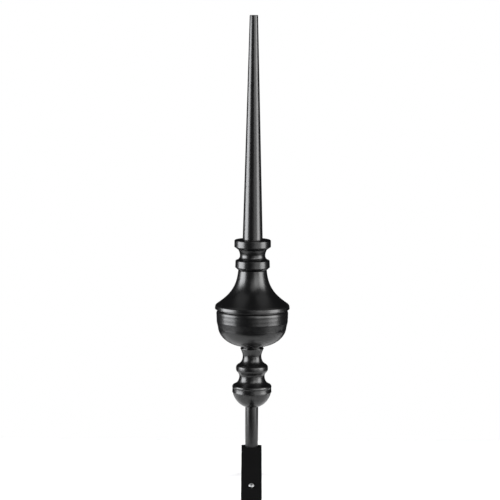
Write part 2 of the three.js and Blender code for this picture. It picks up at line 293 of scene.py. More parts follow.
# %% From wire to plain mesh
def plain_mesh(name, tree, values, wire):
    """The result of a tree on a wire mesh, as a plain mesh with its faces outwards."""
    source = bpy.data.objects.new(name + "_wire", wire)
    bpy.context.scene.collection.objects.link(source)
    modifier = source.modifiers.new("shape", "NODES")
    modifier.node_group = tree
    for socket in tree.interface.items_tree:
        if socket.in_out == "INPUT" and socket.name in values:
            modifier[socket.identifier] = values[socket.name]
    bpy.context.view_layer.update()
    shown = source.evaluated_get(bpy.context.evaluated_depsgraph_get())
    mesh = bpy.data.meshes.new_from_object(shown)
    source.modifiers.remove(modifier)
    bpy.data.objects.remove(source)
    work = bmesh.new()
    work.from_mesh(mesh)
    write_outwards(work, mesh)
    mesh.name = name
    return mesh


def write_outwards(work, mesh):
    """Write a closed bmesh into a mesh with its faces turned outwards."""
    bmesh.ops.recalc_face_normals(work, faces=work.faces)
    if work.calc_volume(signed=True) < 0:
        bmesh.ops.reverse_faces(work, faces=work.faces)
    work.to_mesh(mesh)
    work.free()


def wire_of(name, points):
    """A bare wire through the points of an outline, with the length run so far stored on it."""
    mesh = bpy.data.meshes.new(name)
    mesh.from_pydata([(r * MM, 0, z * MM) for r, z in points],
                     [(i, i + 1) for i in range(len(points) - 1)], [])
    run = [0.0]
    for a, b in zip(mesh.vertices, mesh.vertices[1:]):
        run.append(run[-1] + (b.co - a.co).length)
    mesh.attributes.new("along", "FLOAT", "POINT").data.foreach_set("value", run)
    return mesh


# %% [markdown]
# Each skin then takes the place of its node: the node is hidden and the skin rides on the root body.
# That could be written out for every piece, but one function does it alike for all of them and
# prints the size of the skin, where a slip in an outline shows at once.

# %% Put a skin in a node's place
def piece_of(name, mesh):
    piece = bpy.data.objects.new(name, mesh)
    bpy.context.scene.collection.objects.link(piece)
    return piece


def corners(piece):
    """Lowest and highest corner of a piece's mesh."""
    places = [vertex.co for vertex in piece.data.vertices]
    return [tuple(pick(p[i] for p in places) for i in range(3)) for pick in (min, max)]


def cover(node, mesh):
    """Put a mesh in the place of a node of the measured model."""
    piece = piece_of(node + "_skin", mesh)
    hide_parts(node)
    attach(piece, "root")
    size = [round((high - low) / MM, 2) for low, high in zip(*corners(piece))]
    print(f"{piece.name}: {len(mesh.polygons)} faces, {size} mm")
    return piece


# %% [markdown]
# ## Satin black powder coat
# The coat is a baked plastic film about a tenth of a millimetre thick. It isn't quite black, it is
# satin rather than glossy, and under a lamp its surface shows a fine ripple like orange peel. Where
# the sheet was spun, faint lines run round the piece under it. A picture of all this would have to
# be stretched over the turned surface, so the pattern is worked out: noise in the object's own
# coordinates for the ripple, and noise along the outline for the lines, because that is the way
# the tool travelled.

# %% Shader helpers
def new_material(name):
    material = bpy.data.materials.new(name)
    material.use_nodes = True
    return material, material.node_tree, material.node_tree.nodes["Principled BSDF"]


def noise(tree, vector, scale, detail=2.0, roughness=0.5):
    """A noise value from 0 to 1. Its scale is counted for each metre of the object's space."""
    node = add(tree, "ShaderNodeTexNoise",
               {"Vector": vector, "Scale": scale, "Detail": detail, "Roughness": roughness})
    return node.outputs["Fac"]


def spread(tree, value, low, high):
    """A value from 0 to 1 moved into the range low to high."""
    node = add(tree, "ShaderNodeMapRange", {"Value": value, "To Min": low, "To Max": high})
    return node.outputs["Result"]


def blend(tree, share, first, second):
    """A colour between two others. The Mix node's colour sockets are found by their numbers."""
    node = add(tree, "ShaderNodeMix", {"Factor": share, 6: (*first, 1), 7: (*second, 1)},
               data_type="RGBA")
    return node.outputs[2]


def bump(tree, height, distance, below=None):
    """Normals tilted by a height given in shares of a distance in metres."""
    node = add(tree, "ShaderNodeBump", {"Strength": 1.0, "Distance": distance, "Height": height})
    if below is not None:
        tree.links.new(below, node.inputs["Normal"])
    return node.outputs["Normal"]


# %% Satin black
SATIN_DEEP = (0.0016, 0.0016, 0.0017)
SATIN_PALE = (0.0027, 0.0027, 0.0029)
PEEL_HEIGHT = 0.003 * MM
LINE_HEIGHT = 0.0025 * MM
PLASTIC_IOR = 1.5


def tool_lines(tree):
    """Noise that changes only along the outline, as the spinning tool travelled."""
    along = add(tree, "ShaderNodeAttribute", attribute_type="GEOMETRY", attribute_name="along")
    lines = add(tree, "ShaderNodeTexNoise", {"W": along.outputs["Fac"], "Scale": 700.0,
                                             "Detail": 3.0, "Roughness": 0.6},
                noise_dimensions="1D")
    return lines.outputs["Fac"]


def satin_black():
    material, tree, coat = new_material("satin_black_coat")
    place = add(tree, "ShaderNodeTexCoord").outputs["Object"]
    patches = noise(tree, place, scale=28.0, detail=4.0, roughness=0.6)
    tree.links.new(blend(tree, patches, SATIN_DEEP, SATIN_PALE), coat.inputs["Base Color"])
    grain = noise(tree, place, scale=2600.0, roughness=0.7)
    dullness = math_node(tree, "ADD", spread(tree, patches, low=-0.02, high=0.03),
                         spread(tree, grain, low=0.25, high=0.31))
    tree.links.new(dullness, coat.inputs["Roughness"])
    peel = bump(tree, noise(tree, place, scale=900.0, detail=1.5), PEEL_HEIGHT)
    tree.links.new(bump(tree, tool_lines(tree), LINE_HEIGHT, peel), coat.inputs["Normal"])
    coat.inputs["Metallic"].default_value = 0.0
    coat.inputs["IOR"].default_value = PLASTIC_IOR
    return material


SATIN_BLACK = satin_black()
print("satin black coat:", len(SATIN_BLACK.node_tree.nodes), "nodes")

# %% [markdown]
# ## Spire
# A long tube, drawn down to a blunt tip. It meets the collar with a small fillet that the coat
# leaves in the corner. A Cone primitive has its shape but neither the fillet nor the softened tip,
# so it is turned like the rest. Its sides are straight and need few points; rows are added along
# them only so that the faces don't get too long for the shading.

# %% Turn a piece
SOFT_EDGE = 0.35


def turn_piece(name, outline):
    points = soften(outline.points, SOFT_EDGE)
    values = {"Sides": SIDES, "Finish": SATIN_BLACK}
    return cover(name, plain_mesh(name, LATHE, values, wire_of(name, points)))


# %% Spire
SPIRE = {"tip_radius": 6.8, "tip_bevel": 0.5, "fillet": 0.8, "fillet_steps": 5, "rows": 24}


def spire_outline():
    foot, tip, foot_radius = reach("spire")
    radius = foot_radius - SPIRE["fillet"]
    outline = Outline(0, foot).line(foot_radius, foot)
    outline.curve((radius, foot), (radius, foot + SPIRE["fillet"]), steps=SPIRE["fillet_steps"])
    start = Vector(outline.points[-1])
    end = Vector((SPIRE["tip_radius"], tip - SPIRE["tip_bevel"]))
    for row in range(1, SPIRE["rows"] + 1):
        outline.line(*start.lerp(end, row / SPIRE["rows"]))
    return outline.line(SPIRE["tip_radius"] - SPIRE["tip_bevel"], tip).line(0, tip)


turn_piece("spire", spire_outline())

# %% [markdown]
# ## Collar
# Two rings with a hollow between them, cut from one piece. Each ring has a sloping underside, an
# upright band and a rounded upper edge. Cylinders and rings could be stacked for it, but their
# seams would show where one curve runs into the next, and one outline has none. The control point
# of a round or a hollow is given as a share of its height, which says how full the curve is.

# %% Collar
LOW_RING = {"foot": 22.9, "rise": 0.5, "splay": 4.5, "under": 1.2, "under_inset": 0.8, "band": 9.5,
            "round": 1.7, "radius": 28.5, "top": 28.1, "inset": 1.5, "fullness": 0.75}
COVE = {"radius": 20.8, "flare": 7.9, "rise": 9, "mouth": 23.3, "foot_pull": 0.23, "head_pull": 0.4}
HIGH_RING = {"splay": 4.5, "under": 1.2, "under_inset": 0.8, "band": 8.6, "inset": 4.6}


def collar_outline():
    foot, top, high_radius = reach("collar")
    low, cove, high = LOW_RING, COVE, HIGH_RING
    ring_foot = foot + low["rise"] + low["splay"]
    band_foot = ring_foot + low["under"]
    band_top = band_foot + low["band"]
    cove_foot = band_top + low["round"]
    waist = cove_foot + cove["flare"]
    mouth = waist + cove["rise"]
    high_foot = mouth + high["splay"]
    high_band = high_foot + high["under"]
    outline = Outline(0, foot).line(low["foot"], foot).line(low["foot"], foot + low["rise"])
    outline.line(low["radius"] - low["under_inset"], ring_foot)
    outline.curve((low["radius"], ring_foot), (low["radius"], band_foot))
    outline.line(low["top"], band_top)
    outline.curve((low["top"], band_top + low["round"] * low["fullness"]),
                  (low["top"] - low["inset"], cove_foot))
    outline.curve((cove["radius"], cove_foot + cove["flare"] * cove["foot_pull"]),
                  (cove["radius"], waist))
    outline.curve((cove["radius"], waist + cove["rise"] * cove["head_pull"]),
                  (cove["mouth"], mouth))
    outline.line(high_radius - high["under_inset"], high_foot)
    outline.curve((high_radius, high_foot), (high_radius, high_band))
    outline.line(high_radius, high_band + high["band"])
    outline.curve((high_radius, top), (high_radius - high["inset"], top))
    return outline.line(0, top)


turn_piece("collar", collar_outline())

# %% [markdown]
# ## Bell
# The upper half of the urn: a flared sheet that ends in a rolled rim. The rim stands out over a
# groove, and that groove is the dark line between the two halves of the urn. The groove could be
# painted on, but a real one stays dark from every side, so the outline steps in under the rim.
# The flare is one curve with two control points, because a row of arcs would show its joints in
# the long highlights.

# %% Bell
RIM = {"crease": 57, "crease_rise": 2.2, "under": 1.2, "under_inset": 0.8, "band": 3.2, "lean": 0.3,
       "over": 3.8, "over_inset": 2.85, "fullness": 0.4}
FLARE = {"top": 23.6, "inward": 0.6, "upward": 0.263, "taper": 0.09, "down": 0.5}
LONG_CURVE_STEPS = 48


def bell_outline():
    foot, top, rim_radius = reach("bell")
    rim_foot = foot + RIM["crease_rise"]
    band_foot = rim_foot + RIM["under"]
    band_top = band_foot + RIM["band"]
    shoulder = band_top + RIM["over"]
    edge = rim_radius - RIM["over_inset"]
    width, height = edge - FLARE["top"], top - shoulder
    drop = height * FLARE["down"]
    outline = Outline(0, foot).line(RIM["crease"], foot).line(RIM["crease"], rim_foot)
    outline.line(rim_radius - RIM["under_inset"], rim_foot)
    outline.curve((rim_radius, rim_foot), (rim_radius, band_foot))
    outline.line(rim_radius - RIM["lean"], band_top)
    outline.curve((rim_radius - RIM["lean"], band_top + RIM["over"] * RIM["fullness"]),
                  (edge, shoulder))
    outline.curve((edge - width * FLARE["inward"], shoulder + height * FLARE["upward"]),
                  (FLARE["top"] + drop * FLARE["taper"], top - drop),
                  (FLARE["top"], top), steps=LONG_CURVE_STEPS)
    return outline.line(0, top)


turn_piece("bell", bell_outline())

# %% [markdown]
# ## Bowl
# The lower half of the urn: nearly upright under its lip, then leaning in a little, and from there
# drawn in to a small foot in one long curve. The spinning tool left shallow waves round the wall.
# They are thinner than a hair, but a satin surface shows them as faint bands in its highlights.
# They could be a bump in the coat. As they run round like all else on a lathe, a cosine along the
# outline makes them real for the cost of a few rows of faces.

# %% Bowl
BOWL = {"foot": 16.2, "foot_rise": 3, "depth": 30.8, "taper": 9.4, "taper_lean": 2.3,
        "taper_blend": 0.5, "blend_top": 0.08, "wall": 15.2, "wall_lean": 0.6,
        "lip_inset": 3.2, "lip_fullness": 0.3}
# Where the long curve's two control points lie, in shares of its width and its depth.
BOWL_CURVE = {"outward": 0.63, "upward": 0.087, "inward": 0.025, "down": 0.426}
WAVE = {"length": 7, "depth": 0.05, "steps": 24}


def bowl_curve(outline, start, end):
    """The long curve from the foot up to where the taper starts."""
    size = end - start
    outline.curve((start.x + size.x * BOWL_CURVE["outward"], start.y + size.y * BOWL_CURVE["upward"]),
                  (end.x - size.x * BOWL_CURVE["inward"], end.y - size.y * BOWL_CURVE["down"]),
                  end, steps=LONG_CURVE_STEPS)


def wavy_wall(outline, low, high):
    """A straight wall with the waves that the tool left in it."""
    for step in range(1, WAVE["steps"] + 1):
        place = low.lerp(high, step / WAVE["steps"])
        turn = math.tau * (place.y - low.y) / WAVE["length"]
        outline.line(place.x - WAVE["depth"] * (1 - math.cos(turn)) / 2, place.y)


def bowl_outline():
    foot, top, radius = reach("bowl")
    curve_foot = Vector((BOWL["foot"], foot + BOWL["foot_rise"]))
    taper_height = curve_foot.y + BOWL["depth"]
    wall_foot = Vector((radius - BOWL["wall_lean"], taper_height + BOWL["taper"]))
    wall_top = Vector((radius, wall_foot.y + BOWL["wall"]))
    taper_foot = Vector((wall_foot.x - BOWL["taper_lean"], taper_height))
    taper_top = wall_foot.lerp(wall_top, BOWL["blend_top"])
    blend = Vector((0, BOWL["taper_blend"]))
    outline = Outline(0, foot).line(BOWL["foot"], foot).line(*curve_foot)
    bowl_curve(outline, curve_foot, taper_foot)
    outline.curve(taper_foot + blend, (taper_foot + taper_top) / 2)
    outline.curve(taper_top - blend, taper_top)
    wavy_wall(outline, taper_top, wall_top)
    lip_edge = radius - BOWL["lip_inset"]
    outline.curve((radius - BOWL["lip_inset"] * BOWL["lip_fullness"], top), (lip_edge, top))
    return outline.line(0, top)


turn_piece("bowl", bowl_outline())

# %% [markdown]
# ## Baluster
# Cap, hollow, ring and neck are one turned piece. The cap has a small bead at its lower edge, where
# it closes over the cup. They could be four meshes, but the turner cut them from one piece, and so
# each stretch of the outline starts where the last one ends: a change of one height moves all that
# is above it.

# %% Baluster
CAP = {"lip": 2, "band_radius": 32.2, "band_lean": 0.13, "band": 5.4, "edge": 1.8,
       "round": 3.8, "inset": 2.3, "fullness": 0.65}
HOLLOW = {"radius": 20.9, "flare": 14.8, "pull": 0.23, "under": 11.2}
RING = {"radius": 26.4, "inset": 2.9, "band": 3, "over": 4.6, "under_pull": 1.1}
NECK = {"radius": 15.4, "flare": 14.4, "rise": 12.2, "flare_pull": 0.27, "rise_pull": 0.33,
        "flange": 19.3, "flange_lean": 0.1}


def baluster_outline():
    foot, top, radius = reach("baluster")
    band_foot = foot + CAP["lip"]
    edge_foot = band_foot + CAP["band"]
    round_foot = edge_foot + CAP["edge"]
    shoulder = round_foot + CAP["round"]
    waist = shoulder + HOLLOW["flare"]
    ring_foot = waist + HOLLOW["under"]
    under_middle = waist + HOLLOW["under"] / 2
    over_foot = ring_foot + RING["band"]
    ring_top = over_foot + RING["over"]
    neck = ring_top + NECK["flare"]
    flange_foot = neck + NECK["rise"]
    outline = Outline(0, foot).line(radius - CAP["lip"] / 2, foot)
    outline.curve((radius, foot), (radius, foot + CAP["lip"] / 2))
    outline.line(CAP["band_radius"] + CAP["band_lean"], band_foot)
    outline.line(CAP["band_radius"] - CAP["band_lean"], edge_foot)
    outline.line(radius, round_foot)
    outline.curve((radius, round_foot + CAP["round"] * CAP["fullness"]),
                  (radius - CAP["inset"], shoulder))
    outline.curve((HOLLOW["radius"], shoulder + HOLLOW["flare"] * HOLLOW["pull"]),
                  (HOLLOW["radius"], waist))
    outline.curve((HOLLOW["radius"], under_middle - RING["inset"] * RING["under_pull"]),
                  (RING["radius"] - RING["inset"], under_middle))
    outline.curve((RING["radius"], under_middle + RING["inset"]), (RING["radius"], ring_foot))
    outline.line(RING["radius"], over_foot)
    outline.curve((RING["radius"], over_foot + RING["over"] / 2),
                  (RING["radius"] - RING["inset"], ring_top))
    outline.curve((NECK["radius"], ring_top + NECK["flare"] * NECK["flare_pull"]),
                  (NECK["radius"], neck))
    outline.curve((NECK["radius"], neck + NECK["rise"] * NECK["rise_pull"]),
                  (NECK["flange"], flange_foot))
    outline.line(NECK["flange"] - NECK["flange_lean"], top)
    return outline.line(0, top)


turn_piece("baluster", baluster_outline())

# %% [markdown]
# ## Cup and pole
# The cup is part of a ball, with a socket below for the pole. The pole is a plain length of pipe.
# A narrow gap runs round it, and the shade in the gap sets the two pieces apart. A sphere with a
# hole cut by a Boolean would do as well, but here the socket is three more points of the outline.

# %% Cup and pole
CUP = {"ball": 32, "socket": 12, "gap": 0.3, "land": 1.2}
POLE_EDGE = 0.6


def cup_outline():
    foot, top, _ = reach("cup")
    socket = reach("pole")[2] + CUP["gap"]
    foot_radius = socket + CUP["land"]
    centre = foot + math.sqrt(CUP["ball"] ** 2 - foot_radius ** 2)
    outline = Outline(0, foot + CUP["socket"]).line(socket, foot + CUP["socket"]).line(socket, foot)
    outline.arc(centre, CUP["ball"], -math.acos(foot_radius / CUP["ball"]),
                math.asin((top - centre) / CUP["ball"]), steps=LONG_CURVE_STEPS)
    return outline.line(0, top)


def pole_outline():
    foot, top, radius = reach("pole")
    return Outline(0, foot).line(radius, foot).line(radius, top - POLE_EDGE).line(
        radius - POLE_EDGE, top).line(0, top)


turn_piece("cup", cup_outline())
turn_piece("pole", pole_outline())

# %% [markdown]
# ## Matt black coat
# The bar's coat is duller than that of the turned pieces: it has a fine sandy texture that spreads
# the light, so that the bar looks evenly dark grey. Grains could be scattered over the bar as
# geometry, but they are too small to be seen one by one. Noise of two sizes in the normals does
# it, with a little of it in the roughness.

# %% Matt black
MATT_DEEP = (0.002, 0.002, 0.0021)
MATT_PALE = (0.003, 0.003, 0.0031)
MATT_GLEAM = 0.08
SAND_HEIGHT = 0.02 * MM


def matt_black():
    material, tree, coat = new_material("matt_black_coat")
    place = add(tree, "ShaderNodeTexCoord").outputs["Object"]
    patches = noise(tree, place, scale=45.0, detail=3.0, roughness=0.6)
    tree.links.new(blend(tree, patches, MATT_DEEP, MATT_PALE), coat.inputs["Base Color"])
    coat.inputs["Specular IOR Level"].default_value = MATT_GLEAM
    sand = noise(tree, place, scale=1900.0, detail=3.0, roughness=0.65)
    dullness = math_node(tree, "ADD", spread(tree, sand, low=0.55, high=0.68),
                         spread(tree, patches, low=-0.03, high=0.03))
    tree.links.new(dullness, coat.inputs["Roughness"])
    coarse = bump(tree, noise(tree, place, scale=420.0), SAND_HEIGHT)
    tree.links.new(bump(tree, sand, SAND_HEIGHT, coarse), coat.inputs["Normal"])
    return material


MATT_BLACK = matt_black()
print("matt black coat:", len(MATT_BLACK.node_tree.nodes), "nodes")

# %% [markdown]
# ## Saddle
# The saddle is a flat bar, cut off with rounded corners, drilled twice and bent down on both sides.
# It could be a box with a Bevel, a Boolean for each hole and a Simple Deform for each bend. Here
# the skin is made in the smith's order instead, so that its length along the bends stays exact.
# First the flat blank: each rim, outer or hole, becomes a stack of loops that run round its soft
# edge, and the flats between the rims are filled with triangles.

# %% Sizes of the bar
BAR = {"width": 33.5, "thick": 4, "crown": 22, "bend": 3, "pitch": math.radians(30), "leg": 150,
       "corner": 6, "hole": 2.5, "screw": 87}
HALF_CROWN = BAR["crown"] / 2
# Length that each bend takes from the blank, measured at the middle of the bar's thickness.
BEND_RUN = (BAR["bend"] + BAR["thick"] / 2) * BAR["pitch"]
HALF_BLANK = HALF_CROWN + BEND_RUN + BAR["leg"]

print(f"flat blank: {BAR['width']} by {2 * HALF_BLANK:.1f} mm")

# %% Rims of the blank
CORNER_SIDES = 10
HOLE_SIDES = 40


def outer_rim():
    """Points and outward directions round the blank: x across and y along it."""
    rim = []
    x = BAR["width"] / 2 - BAR["corner"]
    y = HALF_BLANK - BAR["corner"]
    for quarter, (side_x, side_y) in enumerate([(1, 1), (-1, 1), (-1, -1), (1, -1)]):
        for step in range(CORNER_SIDES + 1):
            angle = math.pi / 2 * (quarter + step / CORNER_SIDES)
            out = Vector((math.cos(angle), math.sin(angle)))
            rim.append((Vector((side_x * x, side_y * y)) + BAR["corner"] * out, out))
    return rim


def hole_rim(side):
    """The same round a screw hole, whose outward direction points into the hole."""
    centre = Vector((0, side * (HALF_CROWN + BEND_RUN + BAR["screw"])))
    angles = [math.tau * step / HOLE_SIDES for step in range(HOLE_SIDES)]
    ways = [Vector((math.cos(angle), math.sin(angle))) for angle in angles]
    return [(centre + BAR["hole"] * way, -way) for way in ways]


# %% Flat blank
BAR_EDGE = 0.5
EDGE_STEPS = 3


def edge_rows():
    """How far each loop of a soft edge lies inside the rim, and its height."""
    rows = []
    for step in range(EDGE_STEPS + 1):
        angle = math.pi / 2 * step / EDGE_STEPS
        rows.append((BAR_EDGE * (1 - math.sin(angle)), BAR_EDGE * (1 - math.cos(angle))))
    return rows + [(inside, BAR["thick"] - height) for inside, height in reversed(rows)]


def flat_blank():
    """The blank as a bmesh in millimetres, with smooth edges round its rims."""
    work = bmesh.new()
    flats = {"under": [], "top": []}
    for rim in (outer_rim(), hole_rim(-1), hole_rim(1)):
        loops = [[work.verts.new((*(point - out * inside), height)) for point, out in rim]
                 for inside, height in edge_rows()]
        for low, high in zip(loops, loops[1:]):
            for i in range(len(rim)):
                work.faces.new((low[i - 1], low[i], high[i], high[i - 1])).smooth = True
        for flat, loop in (("under", loops[0]), ("top", loops[-1])):
            flats[flat] += [work.edges.get((loop[i - 1], loop[i])) for i in range(len(rim))]
    for edges in flats.values():
        bmesh.ops.triangle_fill(work, edges=edges, use_beauty=True, normal=(0, 0, 1))
    return work


# %% [markdown]
# Then the bends. The blank's faces are cut across at even steps, or else it couldn't turn, and each
# point is moved: on the crown it stays, in a bend its run becomes an angle round the bend's centre,
# and beyond it goes straight on down the leg.

# %% Bend the blank
BEND_STEPS = 8


def bent(place):
    """Where a point of the flat blank ends up after bending."""
    side = math.copysign(1, place.y)
    run = abs(place.y) - HALF_CROWN
    if run <= 0:
        return place.copy()
    angle = BAR["pitch"] * min(run / BEND_RUN, 1)
    down_leg = max(run - BEND_RUN, 0)
    radius = BAR["bend"] + place.z
    y = HALF_CROWN + radius * math.sin(angle) + down_leg * math.cos(angle)
    z = radius * math.cos(angle) - BAR["bend"] - down_leg * math.sin(angle)
    return Vector((place.x, side * y, z))


def saddle_skin():
    work = flat_blank()
    for side in (-1, 1):
        for step in range(BEND_STEPS + 1):
            line = side * (HALF_CROWN + BEND_RUN * step / BEND_STEPS)
            bmesh.ops.bisect_plane(work, geom=work.verts[:] + work.edges[:] + work.faces[:],
                                   plane_co=(0, line, 0), plane_no=(0, 1, 0))
    for face in work.faces:
        run = abs(face.calc_center_median().y) - HALF_CROWN
        face.smooth = face.smooth or 0 < run < BEND_RUN
    for vertex in work.verts:
        vertex.co = bent(vertex.co) * MM
    mesh = bpy.data.meshes.new("saddle")
    write_outwards(work, mesh)
    mesh.materials.append(MATT_BLACK)
    return mesh


cover("saddle", saddle_skin())

# %% [markdown]
# ## Screws
# A zinc-plated pan-head screw sits in each leg. The plate is dull enough to spread the light, and
# its crystals make it a little uneven. One flat grey could do for so small a head, but noise in the
# colour and the roughness keeps it from looking painted.

# %% Zinc plate
ZINC_DEEP = (0.3, 0.31, 0.32)
ZINC_PALE = (0.44, 0.44, 0.43)
CRYSTAL_HEIGHT = 0.004 * MM


def zinc_plate():
    material, tree, metal = new_material("zinc_plate")
    place = add(tree, "ShaderNodeTexCoord").outputs["Object"]
    crystals = noise(tree, place, scale=700.0, detail=3.0, roughness=0.6)
    tree.links.new(blend(tree, crystals, ZINC_DEEP, ZINC_PALE), metal.inputs["Base Color"])
    tree.links.new(spread(tree, crystals, low=0.6, high=0.7), metal.inputs["Roughness"])
    tree.links.new(bump(tree, noise(tree, place, scale=2500.0), CRYSTAL_HEIGHT),
                   metal.inputs["Normal"])
    metal.inputs["Metallic"].default_value = 1.0
    return material


ZINC_PLATE = zinc_plate()
print("zinc plate:", len(ZINC_PLATE.node_tree.nodes), "nodes")

# %% [markdown]
# A screw is turned like the other pieces, but two more rules shape it. The thread is a groove whose
# depth follows height and angle together, so that it climbs by one pitch in each turn. The cross
# recess is cut by two crossed blades. A thread could also be a profile swept along a helix and
# joined to the shank, but a joint can leave gaps, and moving the turned skin can't. Both rules are
# nodes of one tree, and that tree uses the lathe's tree for its first step.

# %% Sizes of a screw
SCREW = {"head": 4.3, "height": 3, "bevel": 0.3, "rim": 0.9, "dome": 0.92, "shank": 2.1,
         "length": 30, "point": 6, "seat": 0.3, "pitch": 1.6, "thread_top": -3,
         "span": 4.4, "slot": 1.1, "recess": 1.4}
# How deep the thread's groove is, as a share of the radius.
THREAD_DEPTH = 0.24
SCREW_SIDES = 48

print(f"screw: {SCREW['length']} mm below the head, {SCREW['pitch']} mm pitch")


# %% Tree that threads and slots a screw
def threaded(tree, turned, given):
    """Points below the thread's top drawn towards the axis where the groove runs."""
    place = add(tree, "GeometryNodeInputPosition").outputs[0]
    axes = add(tree, "ShaderNodeSeparateXYZ", {0: place}).outputs
    turns = math_node(tree, "DIVIDE", math_node(tree, "ARCTAN2", axes["Y"], axes["X"]), math.tau)
    climb = math_node(tree, "DIVIDE", axes["Z"], given["Pitch"])
    phase = math_node(tree, "FRACT", math_node(tree, "SUBTRACT", climb, turns))
    groove = math_node(tree, "SUBTRACT", 1.0,
                       math_node(tree, "ABSOLUTE", math_node(tree, "MULTIPLY_ADD", phase, 2.0, -1.0)))
    below = math_node(tree, "LESS_THAN", axes["Z"], given["Thread Top"])
    depth = math_node(tree, "MULTIPLY", math_node(tree, "MULTIPLY", groove, given["Thread Depth"]),
                      below)
    scale = math_node(tree, "SUBTRACT", 1.0, depth)
    moved = add(tree, "ShaderNodeCombineXYZ", {"X": math_node(tree, "MULTIPLY", axes["X"], scale),
                                               "Y": math_node(tree, "MULTIPLY", axes["Y"], scale),
                                               "Z": axes["Z"]})
    return add(tree, "GeometryNodeSetPosition",
               {"Geometry": turned, "Position": moved.outputs[0]}).outputs[0]


def slotted(tree, screw, given):
    """A screw with a cross cut out of its head by two blades."""
    blade = add(tree, "GeometryNodeMeshCube", {"Size": given["Recess Size"]}).outputs["Mesh"]
    turned_blade = add(tree, "GeometryNodeTransform", {"Geometry": blade})
    turned_blade.inputs["Rotation"].default_value = (0, 0, math.pi / 2)
    cross = add(tree, "GeometryNodeMeshBoolean", operation="UNION", solver="EXACT")
    tree.links.new(blade, cross.inputs["Mesh 2"])
    tree.links.new(turned_blade.outputs[0], cross.inputs["Mesh 2"])
    set_in = add(tree, "GeometryNodeTransform",
                 {"Geometry": cross.outputs[0], "Translation": given["Recess Place"]})
    cut = add(tree, "GeometryNodeMeshBoolean", {"Mesh 1": screw},
              operation="DIFFERENCE", solver="EXACT")
    tree.links.new(set_in.outputs[0], cut.inputs["Mesh 2"])
    return cut.outputs["Mesh"]


def screw_tree():
    tree = new_tree("screw", [
        ("Sides", "NodeSocketInt", SCREW_SIDES),
        ("Sharp Angle", "NodeSocketFloat", SHARP_EDGE),
        ("Pitch", "NodeSocketFloat", SCREW["pitch"] * MM),
        ("Thread Depth", "NodeSocketFloat", THREAD_DEPTH),
        ("Thread Top", "NodeSocketFloat", SCREW["thread_top"] * MM),
        ("Recess Size", "NodeSocketVector", None),
        ("Recess Place", "NodeSocketVector", None),
        ("Finish", "NodeSocketMaterial", None),
    ])
    given = add(tree, "NodeGroupInput").outputs
    turned = add(tree, "GeometryNodeGroup", node_tree=LATHE)
    for label in ("Geometry", "Sides", "Sharp Angle", "Finish"):
        tree.links.new(given[label], turned.inputs[label])
    screw = threaded(tree, turned.outputs[0], given)
    return finished(tree, slotted(tree, screw, given), given)


SCREW_TREE = screw_tree()
print("screw tree:", len(SCREW_TREE.nodes), "nodes")

# %% Outline of a screw
# The thread needs several rows of points for each turn.
SHANK_ROWS = 150
POINT_ROWS = 24


def screw_outline():
    """From the point up to the middle of the head, whose underside lies at height 0."""
    outline = Outline(0, -SCREW["length"])
    shank_foot = SCREW["point"] - SCREW["length"]
    for row in range(1, POINT_ROWS + 1):
        share = row / POINT_ROWS
        outline.line(SCREW["shank"] * share, SCREW["point"] * share - SCREW["length"])
    for row in range(1, SHANK_ROWS + 1):
        outline.line(SCREW["shank"], shank_foot * (1 - row / SHANK_ROWS))
    outline.line(SCREW["head"] - SCREW["bevel"], 0).line(SCREW["head"], SCREW["bevel"])
    outline.line(SCREW["head"], SCREW["rim"])
    return outline.curve((SCREW["head"] * SCREW["dome"], SCREW["height"]), (0, SCREW["height"]))


print("rows for each turn of the thread:",
      round(SHANK_ROWS * SCREW["pitch"] / (SCREW["length"] - SCREW["point"])))


# %% Screws in the legs
def leg_frame(side):
    """Where a leg's outer face starts: x across, y down the leg and z out of the face."""
    outer_radius = BAR["bend"] + BAR["thick"]
    down = Vector((0, side * math.cos(BAR["pitch"]), -math.sin(BAR["pitch"])))
    out = Vector((0, side * math.sin(BAR["pitch"]), math.cos(BAR["pitch"])))
    turn = Matrix((down.cross(out), down, out)).transposed().to_4x4()
    start = Vector((0, side * HALF_CROWN, -BAR["bend"])) + out * outer_radius
    return Matrix.Translation(start * MM) @ turn


def screw_skin(node, side):
    values = {"Recess Size": (SCREW["span"] * MM, SCREW["slot"] * MM, 2 * SCREW["recess"] * MM),
              "Recess Place": (0, 0, SCREW["height"] * MM), "Finish": ZINC_PLATE}
    mesh = plain_mesh(node, SCREW_TREE, values, wire_of(node, screw_outline().points))
    seat = Vector((0, BAR["screw"], SCREW["seat"])) * MM
    mesh.transform(leg_frame(side) @ Matrix.Translation(seat))
    return mesh


cover("screw_front", screw_skin("screw_front", -1))
cover("screw_rear", screw_skin("screw_rear", 1))

# %% [markdown]
# ## Floor
# A pale sheet of card lies under the object and throws light back into the undersides. A floor
# without an end would be simpler, but satin mirrors it: the card's front edge sets the height at
# which the bowl's underside begins to brighten, and the dark beyond its ends keeps the sides of the
# low pieces dark. The card glows a little, so that it looks white beside the white surroundings.

# %% Pale card
CARD_DEEP = (0.86, 0.86, 0.86)
CARD_PALE = (0.9, 0.9, 0.9)
CARD_ROUGHNESS = 0.9
CARD_GLOW = 0.25


def pale_card():
    material, tree, card = new_material("pale_card")
    grain = noise(tree, add(tree, "ShaderNodeTexCoord").outputs["Object"], scale=60.0)
    tree.links.new(blend(tree, grain, CARD_DEEP, CARD_PALE), card.inputs["Base Color"])
    card.inputs["Roughness"].default_value = CARD_ROUGHNESS
    card.inputs["Specular IOR Level"].default_value = 0.0
    card.inputs["Emission Color"].default_value = (1, 1, 1, 1)
    card.inputs["Emission Strength"].default_value = CARD_GLOW
    return material


# %% Floor
FLOOR = {"left": -0.6, "right": 0.6, "front": -0.3, "back": 0.4, "gap": 0.5 * MM}


